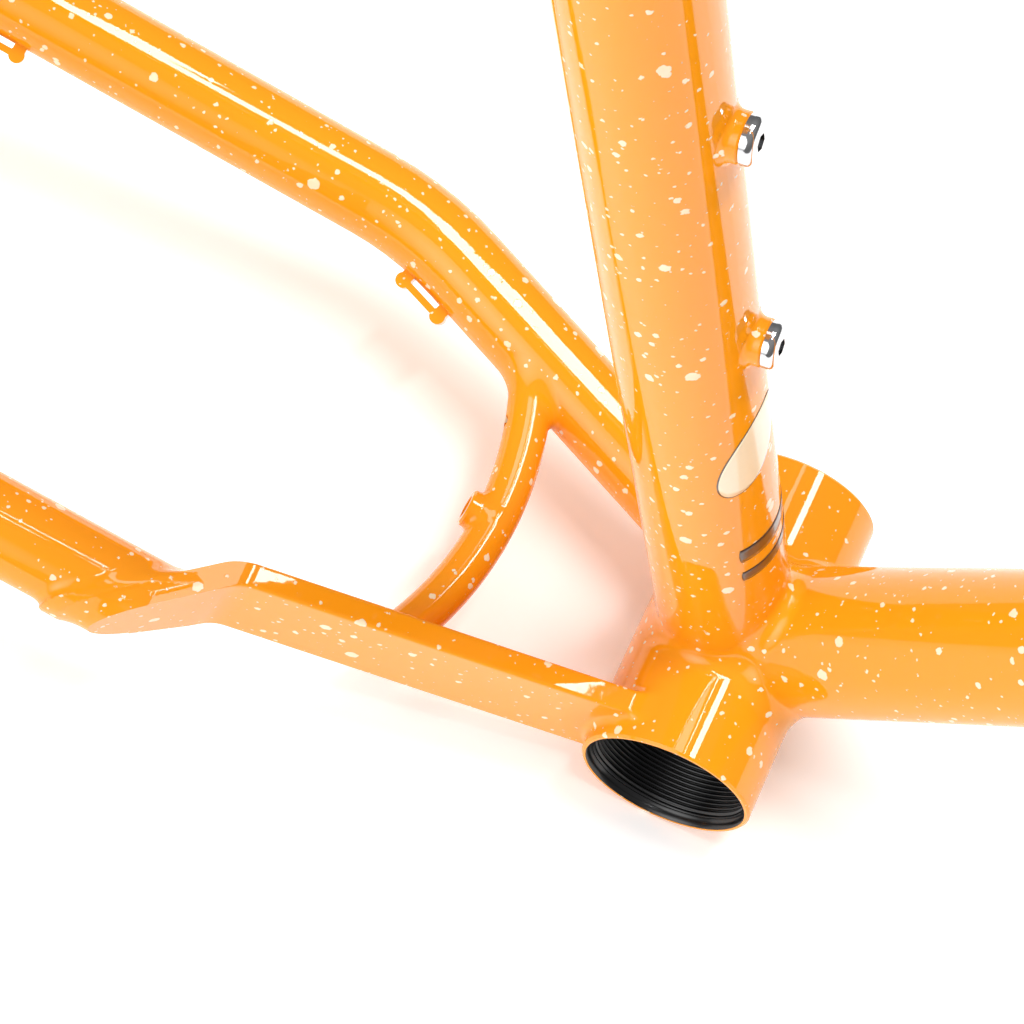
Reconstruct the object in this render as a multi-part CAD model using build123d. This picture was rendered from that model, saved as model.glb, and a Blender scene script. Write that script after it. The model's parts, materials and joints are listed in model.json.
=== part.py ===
"""Bare steel bicycle frame for wide tyres, with a plate yoke on the drive-side chainstay.

Millimetres. The origin is the centre of the bottom-bracket shell. +X points forward, +Y to the
rider's left (the non-drive side) and +Z up. Every tube, plate, boss and fastener is its own node.
"""

from build123d import *
from math import atan, cos, degrees, radians, sin, sqrt
import os

# ---------------------------------------------------------------- driving dimensions
# Frame geometry
SEAT_ANGLE = 72.5            # seat tube above horizontal
HEAD_ANGLE = 69.5
REACH = 415.0
STACK = 600.0
SEAT_TUBE_LENGTH = 500.0     # shell centre to the seat tube's top
TOP_TUBE_ON_SEAT = 458.0     # station of the top tube's axis on the seat tube
TOP_TUBE_BELOW_HEAD = 30.0   # top tube's axis below the head tube's upper end
DOWN_TUBE_ABOVE_END = 43.7572   # down tube's axis above the head tube's lower end
CHAINSTAY_LENGTH = 440.0
AXLE_RISE = 65.0             # rear axle above the shell's centre
HUB_WIDTH = 148.0            # between the dropouts' inner faces

# Bottom-bracket shell
SHELL_WIDTH = 73.0
SHELL_OUTER = 38.1
SHELL_WALL = 1.65
SHELL_THREAD = SHELL_OUTER - 2 * SHELL_WALL   # thread's major diameter
SHELL_MOUTH_STEP = 0.6
SHELL_MOUTH = SHELL_THREAD + 2 * SHELL_MOUTH_STEP   # relief at each mouth
SHELL_MOUTH_DEPTH = 2.4
SHELL_EDGE = 0.5             # chamfer round each end

# Main tubes
SEAT_OUTER = 28.6
SEAT_WALL_TOP = 0.7          # wall round the seatpost
SEATPOST_BORE = SEAT_OUTER - 2 * SEAT_WALL_TOP
SEAT_WALL_BUTTED = 1.0       # wall below the seatpost's bore
SEATPOST_BORE_LENGTH = 230.0
SEAT_SLOT_WIDTH = 3.0
SEAT_SLOT_LENGTH = 36.0
SEAT_SLOT_HOLE = 6.0
SLEEVE_WALL = 1.6
SLEEVE_OUTER = SEAT_OUTER + 2 * SLEEVE_WALL
SLEEVE_LENGTH = 22.0
DOWN_OUTER = 31.8
TOP_OUTER = 28.6
TUBE_WALL = 0.9
HEAD_LENGTH = 140.0
HEAD_OUTER = 37.0
HEADSET_WALL = 1.525
HEADSET_BORE = HEAD_OUTER - 2 * HEADSET_WALL
HEADSET_SEAT = 20.0          # depth of each cup's seat
HEAD_RELIEF_WALL = 1.2
HEAD_RELIEF = HEAD_OUTER - 2 * HEAD_RELIEF_WALL
HEAD_RING_WALL = 2.0
HEAD_RING_OUTER = HEAD_OUTER + 2 * HEAD_RING_WALL
HEAD_RING_WIDTH = 9.0

# Chainstays, in the plane through the shell's axis and the rear axle
STAY_OUTER = 19.4
STAY_WALL = 0.9
STAY_PLUG = 4.0              # closed end at the dropout
LEFT_STAY_START = 13.8       # half width at the shell's centre, before the bend
LEFT_STAY_SLOPE = 0.383
LEFT_STAY_WIDE = 51.7        # half width behind the bend
RIGHT_STAY_WIDE = 56.5
STAY_BEND_RADIUS = 70.0
STAY_FLARE = 290.0           # distance of the flare towards the dropouts
STAY_FLARE_RADIUS = 180.0
STAY_END_GAP = 26.0          # from the axle to the tube's end
YOKE_THICK = 5.4
YOKE_HEIGHT = 27.0
YOKE_START = 26.0            # half width of the yoke's mid-plane at the shell's centre
YOKE_SLOPE = 0.193
YOKE_BEND = 100.0
YOKE_BEND_RADIUS = 13.0
YOKE_TIP_SLOPE = 0.84
YOKE_SHOULDER = 27.0         # radius where its height starts to narrow
YOKE_EDGE = 0.8
YOKE_TIP_LIP = 0.6           # how far the yoke's end stands past the tube

# Seatstays
SEATSTAY_OUTER = 15.9
SEATSTAY_ON_SEAT = 438.0
SEATSTAY_TOP_OUT = 11.0      # half width where they leave the seat tube
SEATSTAY_BEND = 75.0
SEATSTAY_BEND_OUT = 44.0
SEATSTAY_BEND_RADIUS = 90.0
SEATSTAY_END_GAP = 30.0

# Bridges
BRIDGE_OUTER = 9.5
BRIDGE_WALL = 1.2
BRIDGE_BACK = 56.6           # bridge's middle behind the shell's centre
BRIDGE_RADIUS = 82.0
BRIDGE_OFFSET = -0.8         # sideways place of its middle
BRIDGE_END_BACK = 4.85       # its ends behind its middle
BRIDGE_VENT = 2.6
BRIDGE_VENT_OUT = 19.5
BRIDGE_BOSS_OFFSET = -2.6
SEAT_BRIDGE_OUTER = 12.7
SEAT_BRIDGE_DOWN = 82.0      # along the seatstays, from the seat tube
SEAT_BRIDGE_OVERLAP = 6.0
BRIDGE_BOSS_OUTER = 8.3
BRIDGE_BOSS_PROUD = 2.1

# M5 fittings
M5 = 5.0
M5_SHANK = 4.9
BOSS_FLANGE = 9.4
BOSS_PROUD = 2.5
BOSS_SHANK = 6.6
BOSS_DEPTH = 7.0             # of its thread below the tube's surface
BOSS_EDGE = 0.5
BOTTLE_SPACING = 64.0
SEAT_BOTTLE_STATION = 127.2
DOWN_BOTTLE_STATION = 205.0
BOLT_HEAD = 9.2
BOLT_HEAD_HEIGHT = 2.4
BOLT_LENGTH = 9.0
BOLT_SOCKET = 3.0
BOLT_SOCKET_DEPTH = 1.7
BOLT_DOME = 1.5

# Hose guides
GUIDE_PITCH = 10.7           # between its feet
GUIDE_FOOT = 3.5
GUIDE_ROOT = 2.8
GUIDE_WIDTH = 5.4
GUIDE_STRAP = 1.5
GUIDE_GAP = 1.2
GUIDE_DROP = 27.0            # degrees below the stay's inner side
STAY_GUIDES = (94.4, 204.4, 314.4)
DOWN_GUIDES = (150.0, 290.0, 430.0)

# Dropouts, hanger and axle
DROPOUT_THICK = 7.0
DROPOUT_EYE = 27.0
DROPOUT_ARM = 13.0           # width of the tongues in the stays
DROPOUT_TONGUE = 12.0        # how deep each tongue sits in its stay
DROPOUT_WEB = 22.0           # how far the web between the tongues reaches
DROPOUT_WEB_CORNER = 4.5
DROPOUT_WEB_ROOT = 9.0
AXLE_DIAMETER = 12.0
AXLE_CLEARANCE = 0.07
EYELET = 5.0
EYELET_WALL = 3.5
EYELET_BACK = 19.0
EYELET_UP = 12.0
BRAKE_SPACING = 51.0
BRAKE_HOLE = 6.2
BRAKE_TAB_WALL = 5.5
BRAKE_RADIUS = 58.0          # from the axle to each caliper hole
BRAKE_AIM = 114.0            # direction of the tab's middle, from straight ahead
HANGER_THICK = 4.5
HANGER_THREAD = 10.0
HANGER_WALL = 3.6
HANGER_EYE_WALL = 4.6
HANGER_DROP = 28.0
HANGER_BACK = 9.0
HANGER_SCREW = 3.0
HANGER_SCREW_HEAD = 5.4
HANGER_SCREW_SINK = 1.6
HANGER_SCREW_REACH = 16.5
HANGER_SCREW_TURN = 4.0      # degrees from each tongue's middle
HANGER_SCREW_WALL = 1.0
HANGER_SCREW_GRIP = 6.0      # its thread in the dropout
HANGER_SCREW_SOCKET = 2.0
WASHER_OUTER = 20.0
WASHER_THICK = 2.6
AXLE_HEAD = 17.5
AXLE_HEAD_HEIGHT = 7.0
AXLE_SOCKET = 6.0
AXLE_SOCKET_DEPTH = 5.0
AXLE_TIP_PROUD = 1.5
AXLE_BORE = 7.0

# Seat collar and its quick-release lever
COLLAR_WALL = 3.6
COLLAR_HEIGHT = 14.0
COLLAR_DOWN = 0.5            # its top below the seat tube's end
COLLAR_GAP = 3.0
COLLAR_EAR_INSET = 10.0      # ears' outer faces within the collar's outside
COLLAR_EAR_HEIGHT = 12.0
COLLAR_EAR_CORNER = 2.4
COLLAR_BOLT = 5.0
COLLAR_BOLT_HOLE = 5.4
COLLAR_BOLT_OUT = 8.6        # clamping rod behind the sleeve's surface
COLLAR_BOLT_BACK = SLEEVE_OUTER / 2 + COLLAR_BOLT_OUT
CAM_RADIUS = 6.4
CAM_THROW = 0.7
CAM_GAP = 0.3
CHEEK = 3.4
CHEEK_GAP = 0.3
ROD_EYE = 8.4
ROD_EYE_HEIGHT = 4.4
PIVOT_PIN = 4.0
RUNNING = 0.05               # radial clearance of a pin that turns
ROD_ROOM_AHEAD = 2.9         # how far ahead of the pin the swinging rod's room starts
LEVER_LENGTH = 50.0
LEVER_THICK = 4.0
LEVER_WEB = 6.7              # the bridge between the cheeks
SADDLE_LENGTH = 10.0
SADDLE_WEB = 2.4
SADDLE_RISE = 2.4
NUT_OUTER = 13.5
NUT_LENGTH = 8.0
NUT_CAP = 1.0                # closed end over the thread
NUT_EDGE = 1.0

# ---------------------------------------------------------------- directions and key points
OUT = Vector(0, 1, 0)
ORIGIN = Vector(0, 0, 0)


def rising(angle, ahead=1):
    """Unit vector in the middle plane, that many degrees above horizontal."""
    return Vector(ahead * cos(radians(angle)), 0, sin(radians(angle)))


SEAT_DIR = rising(SEAT_ANGLE, -1)
SEAT_FRONT = Vector(SEAT_DIR.Z, 0, -SEAT_DIR.X)
HEAD_DIR = rising(HEAD_ANGLE, -1)
SEAT_TOP = SEAT_DIR * SEAT_TUBE_LENGTH
HEAD_TOP = Vector(REACH, 0, STACK)
HEAD_BOTTOM = HEAD_TOP - HEAD_DIR * HEAD_LENGTH
AXLE = Vector(-sqrt(CHAINSTAY_LENGTH**2 - AXLE_RISE**2), 0, AXLE_RISE)
STAY_DIR = AXLE.normalized()
STAY_UP = Vector(STAY_DIR.Z, 0, -STAY_DIR.X)
DROPOUT_MID = HUB_WIDTH / 2 + DROPOUT_THICK / 2
DOWN_ON_HEAD = HEAD_BOTTOM + HEAD_DIR * DOWN_TUBE_ABOVE_END
DOWN_DIR = DOWN_ON_HEAD.normalized()
DOWN_TOP_SIDE = Vector(-DOWN_DIR.Z, 0, DOWN_DIR.X)
TOP_ON_HEAD = HEAD_TOP - HEAD_DIR * TOP_TUBE_BELOW_HEAD
TOP_ON_SEAT = SEAT_DIR * TOP_TUBE_ON_SEAT
SEATSTAY_ROOT = SEAT_DIR * SEATSTAY_ON_SEAT
SEATSTAY_DIR = (AXLE - SEATSTAY_ROOT).normalized()
COLLAR_MID = SEAT_TOP - SEAT_DIR * (COLLAR_DOWN + COLLAR_HEIGHT / 2)


# ---------------------------------------------------------------- helpers
def rod(start, end, diameter):
    """Solid cylinder between two points."""
    axis = end - start
    return extrude(Plane(origin=start, z_dir=axis) * Circle(diameter / 2), axis.length)


def pipe(start, end, outer, inner):
    """Tube between two points."""
    return rod(start, end, outer) - rod(start, end, inner)


def across(centre, diameter, length):
    """Cylinder parallel to the hub's axle, centred on a point."""
    return rod(centre - OUT * length / 2, centre + OUT * length / 2, diameter)


def bent_rod(points, radii, diameter):
    """Solid round bar along straight runs joined by arcs."""
    path = FilletPolyline(*points, radius=radii)
    return sweep(Plane(origin=path @ 0, z_dir=path % 0) * Circle(diameter / 2), path)


def bent_tube(points, radii, outer, wall):
    """Round tube along straight runs, closed at its last end."""
    last = points[-1] + (points[-2] - points[-1]).normalized() * STAY_PLUG
    return bent_rod(points, radii, outer) - bent_rod([*points[:-1], last], radii, outer - 2 * wall)


def largest(shape):
    """The largest solid of a cut shape."""
    return max(shape.solids(), key=lambda solid: solid.volume)


def mirrored(shape):
    """The same shape on the drive side."""
    return mirror(shape, about=Plane.XZ)


def stay_point(back, out):
    """A point in the chainstays' plane: distance behind the shell, and half width."""
    return STAY_DIR * back + OUT * out


def save(name, *shapes):
    """Writes one node from one or more solids."""
    solids = [solid for shape in shapes for solid in shape.solids()]
    export_step(solids[0] if len(solids) == 1 else Compound(children=solids), f"parts/{name}.step")


# ---------------------------------------------------------------- whole bodies that others are cut to
SHELL_SOLID = across(ORIGIN, SHELL_OUTER, SHELL_WIDTH)
SEAT_SOLID = rod(ORIGIN, SEAT_TOP, SEAT_OUTER)
HEAD_SOLID = rod(HEAD_BOTTOM, HEAD_TOP, HEAD_OUTER)
DOWN_SOLID = rod(ORIGIN, DOWN_ON_HEAD, DOWN_OUTER)
TOP_SOLID = rod(TOP_ON_SEAT, TOP_ON_HEAD, TOP_OUTER)


def slot_cut():
    """The seat tube's clamping slot and the round hole at its end."""
    end = SEAT_TOP - SEAT_DIR * (SEAT_SLOT_LENGTH - SEAT_SLOT_HOLE / 2)
    reach = SLEEVE_OUTER
    box = Box(2 * reach, SEAT_SLOT_WIDTH, 2 * (SEAT_TOP - end).length)
    slot = Plane(origin=SEAT_TOP - SEAT_FRONT * reach, x_dir=SEAT_FRONT, z_dir=SEAT_DIR) * box
    return slot + rod(end, end - SEAT_FRONT * reach, SEAT_SLOT_HOLE)


SLOT_CUT = slot_cut()


# ---------------------------------------------------------------- M5 bosses and bolts
def boss(surface, outward, hull, flange=BOSS_FLANGE, proud=BOSS_PROUD):
    """Threaded boss: a flange seated on a tube, and a shank through its wall."""
    top = surface + outward * proud
    bottom = surface - outward * BOSS_DEPTH
    pad = chamfer(rod(surface - outward * flange, top, flange).edges().sort_by(
        lambda edge: (edge.center() - top).length)[0], BOSS_EDGE)
    return pad - hull + rod(bottom, top, BOSS_SHANK) - rod(bottom, top, M5)


def boss_hole(surface, outward):
    """What a boss removes from its tube."""
    return rod(surface - outward * BOSS_DEPTH, surface + outward * BOSS_PROUD, BOSS_SHANK)


def bolt(seat, outward):
    """Button-head screw, its head standing on a point."""
    top = seat + outward * BOLT_HEAD_HEIGHT
    head = rod(seat, top, BOLT_HEAD)
    head = fillet(head.edges().sort_by(lambda edge: (edge.center() - top).length)[0], BOLT_DOME)
    socket = extrude(
        Plane(origin=top, z_dir=-outward) * RegularPolygon(BOLT_SOCKET / 2, 6, major_radius=False),
        BOLT_SOCKET_DEPTH,
    )
    return head + rod(seat - outward * BOLT_LENGTH, seat, M5_SHANK) - socket


SEAT_BOSSES = [
    SEAT_DIR * (SEAT_BOTTLE_STATION + step * BOTTLE_SPACING) + SEAT_FRONT * (SEAT_OUTER / 2)
    for step in range(2)
]
DOWN_BOSSES = [
    DOWN_DIR * (DOWN_BOTTLE_STATION + step * BOTTLE_SPACING) + DOWN_TOP_SIDE * (DOWN_OUTER / 2)
    for step in range(2)
]


# ---------------------------------------------------------------- main triangle
def bottom_bracket_shell():
    blank = chamfer(SHELL_SOLID.edges().filter_by(GeomType.CIRCLE), SHELL_EDGE)
    mouth = OUT * (SHELL_WIDTH / 2 - SHELL_MOUTH_DEPTH / 2)
    blank -= across(ORIGIN, SHELL_THREAD, SHELL_WIDTH)
    return blank - across(mouth, SHELL_MOUTH, SHELL_MOUTH_DEPTH) - across(
        -mouth, SHELL_MOUTH, SHELL_MOUTH_DEPTH)


def seat_tube():
    bore_start = SEAT_TOP - SEAT_DIR * SEATPOST_BORE_LENGTH
    tube = SEAT_SOLID - rod(ORIGIN, SEAT_TOP, SEAT_OUTER - 2 * SEAT_WALL_BUTTED)
    tube -= rod(bore_start, SEAT_TOP, SEATPOST_BORE)
    tube -= SLOT_CUT
    for place in SEAT_BOSSES:
        tube -= boss_hole(place, SEAT_FRONT)
    return largest(tube - SHELL_SOLID)


def seat_sleeve():
    sleeve = pipe(SEAT_TOP - SEAT_DIR * SLEEVE_LENGTH, SEAT_TOP, SLEEVE_OUTER, SEAT_OUTER)
    return sleeve - SLOT_CUT


def down_tube():
    tube = DOWN_SOLID - rod(ORIGIN, DOWN_ON_HEAD, DOWN_OUTER - 2 * TUBE_WALL)
    for place in DOWN_BOSSES:
        tube -= boss_hole(place, DOWN_TOP_SIDE)
    return largest(tube - SHELL_SOLID - SEAT_SOLID - HEAD_SOLID)


def top_tube():
    tube = TOP_SOLID - rod(TOP_ON_SEAT, TOP_ON_HEAD, TOP_OUTER - 2 * TUBE_WALL)
    return largest(tube - SEAT_SOLID - HEAD_SOLID)


def head_tube():
    relief_start = HEAD_BOTTOM + HEAD_DIR * HEADSET_SEAT
    relief_end = HEAD_TOP - HEAD_DIR * HEADSET_SEAT
    return (
        HEAD_SOLID
        - rod(HEAD_BOTTOM, HEAD_TOP, HEADSET_BORE)
        - rod(relief_start, relief_end, HEAD_RELIEF)
    )


def head_ring(end, inward):
    return pipe(end, end + inward * HEAD_RING_WIDTH, HEAD_RING_OUTER, HEAD_OUTER)


# ---------------------------------------------------------------- chainstays and yoke
LEFT_STAY_BEND = (LEFT_STAY_WIDE - LEFT_STAY_START) / LEFT_STAY_SLOPE
STAY_END = CHAINSTAY_LENGTH - STAY_END_GAP
LEFT_STAY_POINTS = [
    stay_point(0, LEFT_STAY_START),
    stay_point(LEFT_STAY_BEND, LEFT_STAY_WIDE),
    stay_point(STAY_FLARE, LEFT_STAY_WIDE),
    stay_point(STAY_END, DROPOUT_MID),
]
LEFT_STAY_RADII = [STAY_BEND_RADIUS, STAY_FLARE_RADIUS]
LEFT_STAY_SOLID = bent_rod(LEFT_STAY_POINTS, LEFT_STAY_RADII, STAY_OUTER)
RIGHT_STAY_POINTS = [
    stay_point(YOKE_BEND, -RIGHT_STAY_WIDE),
    stay_point(STAY_FLARE, -RIGHT_STAY_WIDE),
    stay_point(STAY_END, -DROPOUT_MID),
]
YOKE_CORNER_OUT = YOKE_START + YOKE_SLOPE * YOKE_BEND
YOKE_CORNER = stay_point(YOKE_BEND, -YOKE_CORNER_OUT)
YOKE_TIP_DIR = (STAY_DIR - OUT * YOKE_TIP_SLOPE).normalized()
YOKE_TIP_NORMAL = (STAY_DIR * YOKE_TIP_SLOPE + OUT).normalized()
YOKE_CAP_BACK = YOKE_BEND + (RIGHT_STAY_WIDE - YOKE_CORNER_OUT) / YOKE_TIP_SLOPE


def yoke_side():
    """The yoke seen from its side: a tall strip that narrows to the tube's height."""
    half = YOKE_HEIGHT / 2
    tip_half = STAY_OUTER / 2 + YOKE_TIP_LIP
    strip = Polygon(
        (0, -half), (YOKE_BEND, -half), (YOKE_CAP_BACK, -tip_half),
        (YOKE_CAP_BACK, tip_half), (YOKE_BEND, half), (0, half), align=None,
    )
    corners = strip.vertices().filter_by(lambda vertex: abs(vertex.X - YOKE_BEND) < 1)
    return fillet(corners, YOKE_SHOULDER)


def yoke_plate():
    tip = YOKE_CORNER + YOKE_TIP_DIR * (2 * STAY_OUTER)
    path = FilletPolyline(stay_point(0, -YOKE_START), YOKE_CORNER, tip, radius=YOKE_BEND_RADIUS)
    section = Plane(origin=path @ 0, x_dir=STAY_UP, z_dir=path % 0)
    strip = sweep(section * RectangleRounded(YOKE_HEIGHT, YOKE_THICK, YOKE_EDGE), path)
    side = Plane(origin=ORIGIN, x_dir=STAY_DIR, z_dir=-OUT) * yoke_side()
    tip_end = stay_point(YOKE_CAP_BACK + YOKE_HEIGHT, -RIGHT_STAY_WIDE)
    tip_keep = rod(
        stay_point(YOKE_CAP_BACK, -RIGHT_STAY_WIDE), tip_end, STAY_OUTER + 2 * YOKE_TIP_LIP)
    keep = extrude(side, SHELL_WIDTH + YOKE_HEIGHT) + tip_keep
    return largest((strip & keep) - SHELL_SOLID)


def right_chainstay():
    tube = bent_tube(RIGHT_STAY_POINTS, [STAY_FLARE_RADIUS], STAY_OUTER, STAY_WALL)
    behind = Plane(
        origin=YOKE_CORNER + YOKE_TIP_NORMAL * (YOKE_THICK / 2),
        x_dir=YOKE_TIP_DIR,
        z_dir=-YOKE_TIP_NORMAL,
    )
    reach = 4 * STAY_OUTER
    tube -= behind * Pos(0, 0, reach / 2) * Box(2 * reach, 2 * reach, reach)
    return largest(tube - dropout_plate(-1))


def left_chainstay():
    tube = bent_tube(LEFT_STAY_POINTS, LEFT_STAY_RADII, STAY_OUTER, STAY_WALL)
    return largest(tube - SHELL_SOLID - SEAT_SOLID - dropout_plate(1))


# ---------------------------------------------------------------- chainstay bridge
BRIDGE_CENTRE = stay_point(BRIDGE_BACK + BRIDGE_RADIUS, BRIDGE_OFFSET)


def bridge_point(out, radius=BRIDGE_RADIUS):
    """A point on the bridge's arc, or on one beside it."""
    side = out - BRIDGE_OFFSET
    return BRIDGE_CENTRE - STAY_DIR * sqrt(radius**2 - side**2) + OUT * side


def bridge_reach(start, slope):
    """Half width at which the bridge meets a stay that spreads at that slope."""
    return start + slope * (BRIDGE_BACK + BRIDGE_END_BACK)


BRIDGE_LEFT = bridge_reach(LEFT_STAY_START, LEFT_STAY_SLOPE)
BRIDGE_RIGHT = -bridge_reach(YOKE_START, YOKE_SLOPE)
BRIDGE_BOSS_FOOT = bridge_point(BRIDGE_BOSS_OFFSET)
BRIDGE_BOSS_TOP = BRIDGE_BOSS_FOOT + STAY_DIR * (BRIDGE_OUTER / 2 + BRIDGE_BOSS_PROUD)


def bridge_rod(diameter):
    middle = bridge_point(BRIDGE_OFFSET)
    arc = ThreePointArc(bridge_point(BRIDGE_RIGHT), middle, bridge_point(BRIDGE_LEFT))
    return sweep(Plane(origin=arc @ 0, z_dir=arc % 0) * Circle(diameter / 2), arc)


def chainstay_bridge(yoke):
    vent = bridge_point(BRIDGE_VENT_OUT)
    bridge = bridge_rod(BRIDGE_OUTER) - bridge_rod(BRIDGE_OUTER - 2 * BRIDGE_WALL)
    bridge -= rod(vent, vent + STAY_DIR * BRIDGE_OUTER, BRIDGE_VENT)
    bridge -= rod(BRIDGE_BOSS_FOOT, BRIDGE_BOSS_TOP, BRIDGE_BOSS_OUTER)
    return largest(bridge - LEFT_STAY_SOLID - yoke)


def chainstay_bridge_boss():
    blank = rod(BRIDGE_BOSS_FOOT, BRIDGE_BOSS_TOP, BRIDGE_BOSS_OUTER)
    rim = blank.edges().sort_by(lambda edge: (edge.center() - BRIDGE_BOSS_TOP).length)[0]
    return chamfer(rim, BOSS_EDGE) - rod(BRIDGE_BOSS_FOOT, BRIDGE_BOSS_TOP, M5)


# ---------------------------------------------------------------- seatstays and their bridge
def seatstay_point(down, out):
    return SEATSTAY_ROOT + SEATSTAY_DIR * down + OUT * out


SEATSTAY_END = (AXLE - SEATSTAY_ROOT).length - SEATSTAY_END_GAP
SEATSTAY_POINTS = [
    seatstay_point(0, SEATSTAY_TOP_OUT),
    seatstay_point(SEATSTAY_BEND, SEATSTAY_BEND_OUT),
    seatstay_point(SEATSTAY_END, DROPOUT_MID),
]
SEATSTAY_SOLID = bent_rod(SEATSTAY_POINTS, [SEATSTAY_BEND_RADIUS], SEATSTAY_OUTER)
SEAT_BRIDGE = seatstay_point(SEAT_BRIDGE_DOWN, 0)
SEAT_BRIDGE_TOP = SEAT_BRIDGE + SEATSTAY_DIR * (SEAT_BRIDGE_OUTER / 2 + BRIDGE_BOSS_PROUD)


def seatstay(side):
    tube = bent_tube(SEATSTAY_POINTS, [SEATSTAY_BEND_RADIUS], SEATSTAY_OUTER, STAY_WALL)
    middle = Pos(0, -SEAT_OUTER, 0) * Box(4 * SEAT_TUBE_LENGTH, 2 * SEAT_OUTER, 4 * SEAT_TUBE_LENGTH)
    tube = largest(tube - SEAT_SOLID - TOP_SOLID - middle - dropout_plate(1))
    return tube if side > 0 else mirrored(largest(tube))


def seatstay_bridge():
    half = SEATSTAY_BEND_OUT + SEAT_BRIDGE_OVERLAP
    bridge = pipe(
        SEAT_BRIDGE - OUT * half, SEAT_BRIDGE + OUT * half,
        SEAT_BRIDGE_OUTER, SEAT_BRIDGE_OUTER - 2 * BRIDGE_WALL,
    )
    bridge -= rod(SEAT_BRIDGE, SEAT_BRIDGE_TOP, BRIDGE_BOSS_OUTER)
    return largest(bridge - SEATSTAY_SOLID - mirrored(SEATSTAY_SOLID))


def seatstay_bridge_boss():
    blank = rod(SEAT_BRIDGE, SEAT_BRIDGE_TOP, BRIDGE_BOSS_OUTER)
    rim = blank.edges().sort_by(lambda edge: (edge.center() - SEAT_BRIDGE_TOP).length)[0]
    return chamfer(rim, BOSS_EDGE) - rod(SEAT_BRIDGE, SEAT_BRIDGE_TOP, M5)


# ---------------------------------------------------------------- hose guides
def hose_guide(foot, along, outward, hull):
    """Dog-bone bar on two feet, with a gap under it for a tie."""
    plane = Plane(origin=foot, x_dir=along, z_dir=along.cross(outward))
    middle = GUIDE_GAP + GUIDE_STRAP / 2
    feet = [Pos(side * GUIDE_PITCH / 2, middle) * Circle(GUIDE_FOOT / 2) for side in (-1, 1)]
    roots = [
        Pos(side * GUIDE_PITCH / 2, 0) * Rectangle(GUIDE_ROOT, 2 * middle) for side in (-1, 1)
    ]
    strap = Pos(0, middle) * Rectangle(GUIDE_PITCH, GUIDE_STRAP)
    outline = plane * (strap + feet + roots)
    return extrude(outline, GUIDE_WIDTH / 2, both=True) - hull


def chainstay_hose_guides():
    path = FilletPolyline(*LEFT_STAY_POINTS, radius=LEFT_STAY_RADII)
    guides = []
    for station in STAY_GUIDES:
        share = station / path.length
        along = path % share
        inward = along.cross(STAY_UP)
        inward = inward if inward.Y < 0 else -inward
        drop = radians(GUIDE_DROP)
        outward = inward * cos(drop) - STAY_UP * sin(drop)
        foot = path @ share + outward * (STAY_OUTER / 2)
        guides.append(largest(hose_guide(foot, along, outward, LEFT_STAY_SOLID)))
    return guides


def down_tube_hose_guides():
    return [
        largest(hose_guide(
            DOWN_DIR * station - DOWN_TOP_SIDE * (DOWN_OUTER / 2),
            DOWN_DIR, -DOWN_TOP_SIDE, DOWN_SOLID,
        ))
        for station in DOWN_GUIDES
    ]


# ---------------------------------------------------------------- dropouts, hanger and axle
STAY_AIM = degrees(atan(STAY_DIR.Z / STAY_DIR.X))
SEATSTAY_AIM = degrees(atan(SEATSTAY_DIR.Z / SEATSTAY_DIR.X))


def polar(radius, angle):
    """Place in the side view, that far from the axle."""
    return Pos(radius * cos(radians(angle)), radius * sin(radians(angle)))


BRAKE_SPREAD = degrees(atan(BRAKE_SPACING / 2 / sqrt(BRAKE_RADIUS**2 - BRAKE_SPACING**2 / 4)))
BRAKE_PLACES = [polar(BRAKE_RADIUS, BRAKE_AIM + side * BRAKE_SPREAD) for side in (-1, 1)]
EYELET_PLACE = Pos(-EYELET_BACK, EYELET_UP)
HANGER_FACE = HUB_WIDTH / 2 + DROPOUT_THICK
HANGER_PLACE = Pos(-HANGER_BACK, -HANGER_DROP)
HANGER_SCREW_PLACES = [
    polar(HANGER_SCREW_REACH, aim)
    for aim in (STAY_AIM + HANGER_SCREW_TURN, SEATSTAY_AIM - HANGER_SCREW_TURN)
]


def beside_axle(place, out):
    """The point of a place in the side view, that far out."""
    return AXLE + Vector(place.position.X, 0, place.position.Y) + OUT * out


def arm(angle, length, width):
    """Tapered arm from the axle's eye."""
    ends = Circle(DROPOUT_EYE / 2) + polar(length - width / 2, angle) * Circle(width / 2)
    return make_hull(ends.edges())


def dropout_outline(side):
    stay_arm = STAY_END_GAP + DROPOUT_TONGUE
    seat_arm = SEATSTAY_END_GAP + DROPOUT_TONGUE
    outline = arm(STAY_AIM, stay_arm, DROPOUT_ARM) + arm(SEATSTAY_AIM, seat_arm, DROPOUT_ARM)
    web = [polar(DROPOUT_WEB, aim) * Circle(DROPOUT_WEB_CORNER) for aim in (STAY_AIM, SEATSTAY_AIM)]
    outline += make_hull((web[0] + web[1] + Circle(DROPOUT_WEB_ROOT)).edges())
    eyelet = EYELET_PLACE * Circle(EYELET / 2 + EYELET_WALL)
    outline += make_hull((Circle(DROPOUT_EYE / 2) + eyelet).edges())
    holes = Circle(AXLE_DIAMETER / 2 + AXLE_CLEARANCE) + EYELET_PLACE * Circle(EYELET / 2)
    if side > 0:
        outline += brake_tab()
        holes += [place * Circle(BRAKE_HOLE / 2) for place in BRAKE_PLACES]
    return outline - holes


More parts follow.
